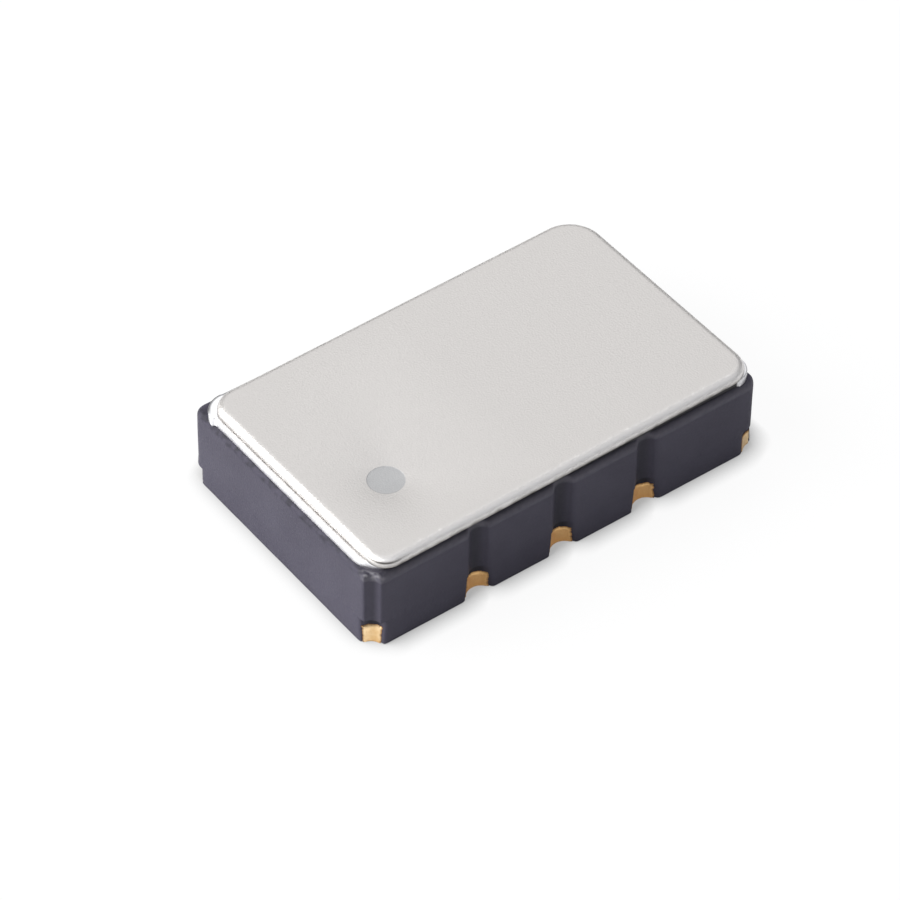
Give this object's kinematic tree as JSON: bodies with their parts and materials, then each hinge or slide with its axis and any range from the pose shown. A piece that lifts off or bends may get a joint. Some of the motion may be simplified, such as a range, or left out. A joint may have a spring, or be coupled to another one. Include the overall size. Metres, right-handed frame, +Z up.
{
  "type": "real-time clock module",
  "caption": "Surface-mount real-time clock module: dark ceramic body with gold castellations and a flat welded metal lid, with a crystal and a clock chip sealed inside.",
  "frame": {"origin": "middle of the solder plane under the pads", "axes": "+X along the long side, from pin 1 towards pin 5; +Y across, from the pin 1 row to the other row; +Z up to the lid"},
  "size_m": [0.005, 0.0032, 0.0012],
  "materials": {
    "ceramic": "matte",
    "ring_metal": "satin",
    "lid_metal": "matte",
    "gold": "satin",
    "silicon": "polished",
    "adhesive": "matte",
    "quartz": "polished"
  },
  "bodies": {
    "root": {"ceramic_base": "ceramic", "seal_ring": "ring_metal", "lid": "lid_metal", "clock_die": "silicon", "die_attach": "adhesive", "tuning_fork": "quartz", "terminal_1": "gold", "terminal_2": "gold", "terminal_3": "gold", "terminal_4": "gold", "terminal_5": "gold", "terminal_6": "gold", "terminal_7": "gold", "terminal_8": "gold", "terminal_9": "gold", "terminal_10": "gold", "crystal_pad_1": "gold", "crystal_pad_2": "gold", "crystal_adhesive_1": "adhesive", "crystal_adhesive_2": "adhesive", "bond_finger_1": "gold", "bond_finger_2": "gold", "bond_finger_3": "gold", "bond_finger_4": "gold", "bond_finger_5": "gold", "bond_finger_6": "gold", "bond_finger_7": "gold", "bond_finger_8": "gold", "bond_finger_9": "gold", "bond_finger_10": "gold", "bond_wire_1": "gold", "bond_wire_2": "gold", "bond_wire_3": "gold", "bond_wire_4": "gold", "bond_wire_5": "gold", "bond_wire_6": "gold", "bond_wire_7": "gold", "bond_wire_8": "gold", "bond_wire_9": "gold", "bond_wire_10": "gold"}
  },
  "joints": []
}
